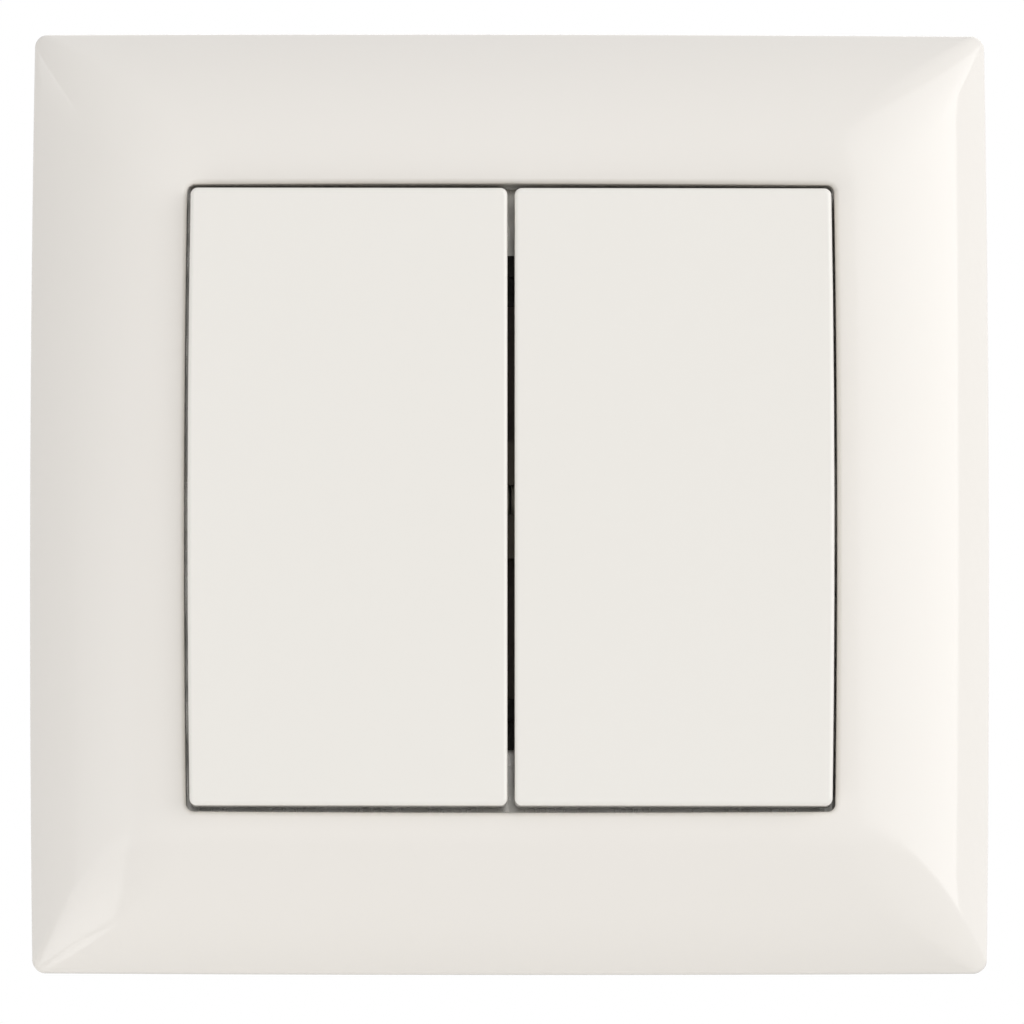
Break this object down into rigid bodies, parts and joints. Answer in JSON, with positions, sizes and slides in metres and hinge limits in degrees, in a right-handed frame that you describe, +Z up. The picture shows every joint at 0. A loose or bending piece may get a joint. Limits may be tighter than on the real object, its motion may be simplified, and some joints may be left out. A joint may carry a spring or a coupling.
{
  "type": "light switch",
  "caption": "Flush wall light switch: a domed frame round side-by-side rockers, on a steel support ring with spreading claws and a screw-terminal insert.",
  "frame": {"origin": "midway between the box screws, on the plane of the wall", "axes": "+Z up the wall, +X to the right seen from the room, +Y into the wall, so the rockers face -Y"},
  "size_m": [0.082, 0.0303, 0.0806],
  "materials": {
    "frame_abs": "moulded, high gloss, warm white",
    "rocker_abs": "moulded, satin gloss, warm white",
    "natural_nylon": "moulded, natural",
    "white_acetal": "moulded, smooth",
    "dark_polycarbonate": "moulded, fine spark texture",
    "grey_thermoset": "pressed thermoset, matt",
    "galvanised_steel": "stamped, zinc coated",
    "zinc_steel": "bright zinc plate",
    "black_steel": "black passivated zinc",
    "spring_steel": "drawn wire",
    "copper": "rolled sheet",
    "silver": "rivet contact",
    "brass": "stamped strip"
  },
  "bodies": {
    "housing": {"cover_frame": "frame_abs", "insert_cover": "dark_polycarbonate", "insert_base": "grey_thermoset", "support_ring": "galvanised_steel", "housing_screws": "black_steel", "common_terminal": "brass", "terminal_cages": "brass", "terminal_screws": "zinc_steel", "left_fixed_contact_tip": "silver", "left_output_terminal": "brass", "left_claw_screw": "zinc_steel", "left_claw_pin": "zinc_steel", "right_fixed_contact_tip": "silver", "right_output_terminal": "brass", "right_claw_screw": "zinc_steel", "right_claw_pin": "zinc_steel"},
    "left_rocker": {"left_rocker": "rocker_abs", "left_cradle": "natural_nylon", "left_plunger_spring": "spring_steel"},
    "left_plunger": {"left_plunger": "white_acetal"},
    "left_contact": {"left_moving_contact": "copper", "left_moving_contact_tip": "silver"},
    "left_claw": {"left_claw": "zinc_steel"},
    "right_rocker": {"right_rocker": "rocker_abs", "right_cradle": "natural_nylon", "right_plunger_spring": "spring_steel"},
    "right_plunger": {"right_plunger": "white_acetal"},
    "right_contact": {"right_moving_contact": "copper", "right_moving_contact_tip": "silver"},
    "right_claw": {"right_claw": "zinc_steel"}
  },
  "joints": [
    {"name": "left_rocker_tilt", "type": "hinge", "parent": "housing", "child": "left_rocker", "pos_m": [-0.0085, -0.0041, 0], "axis": [1, 0, 0], "range_deg": [-3.2, 3.2]},
    {"name": "left_plunger_slide", "type": "slide", "parent": "left_rocker", "child": "left_plunger", "axis": [0, -1, 0], "range_m": [0, 0.0006], "stiffness_N_per_m": 500, "springref_m": -0.003, "deforming": ["left_plunger_spring"]},
    {"name": "left_contact_tilt", "type": "hinge", "parent": "housing", "child": "left_contact", "pos_m": [-0.0085, 0.01, 0], "axis": [1, 0, 0], "range_deg": [-9.5, 9.5]},
    {"name": "left_claw_spread", "type": "hinge", "parent": "housing", "child": "left_claw", "pos_m": [-0.025, 0.0032, 0], "axis": [0, 0, 1], "range_deg": [0, 25]},
    {"name": "right_rocker_tilt", "type": "hinge", "parent": "housing", "child": "right_rocker", "pos_m": [0.0085, -0.0041, 0], "axis": [1, 0, 0], "range_deg": [-3.2, 3.2]},
    {"name": "right_plunger_slide", "type": "slide", "parent": "right_rocker", "child": "right_plunger", "axis": [0, -1, 0], "range_m": [0, 0.0006], "stiffness_N_per_m": 500, "springref_m": -0.003, "deforming": ["right_plunger_spring"]},
    {"name": "right_contact_tilt", "type": "hinge", "parent": "housing", "child": "right_contact", "pos_m": [0.0085, 0.01, 0], "axis": [1, 0, 0], "range_deg": [-9.5, 9.5]},
    {"name": "right_claw_spread", "type": "hinge", "parent": "housing", "child": "right_claw", "pos_m": [0.025, 0.0032, 0], "axis": [0, 0, -1], "range_deg": [0, 25]}
  ],
  "couplings": [
    {"joint": "left_contact_tilt", "follows": "left_rocker_tilt", "ratio": -2.9688},
    {"joint": "right_contact_tilt", "follows": "right_rocker_tilt", "ratio": -2.9688}
  ]
}
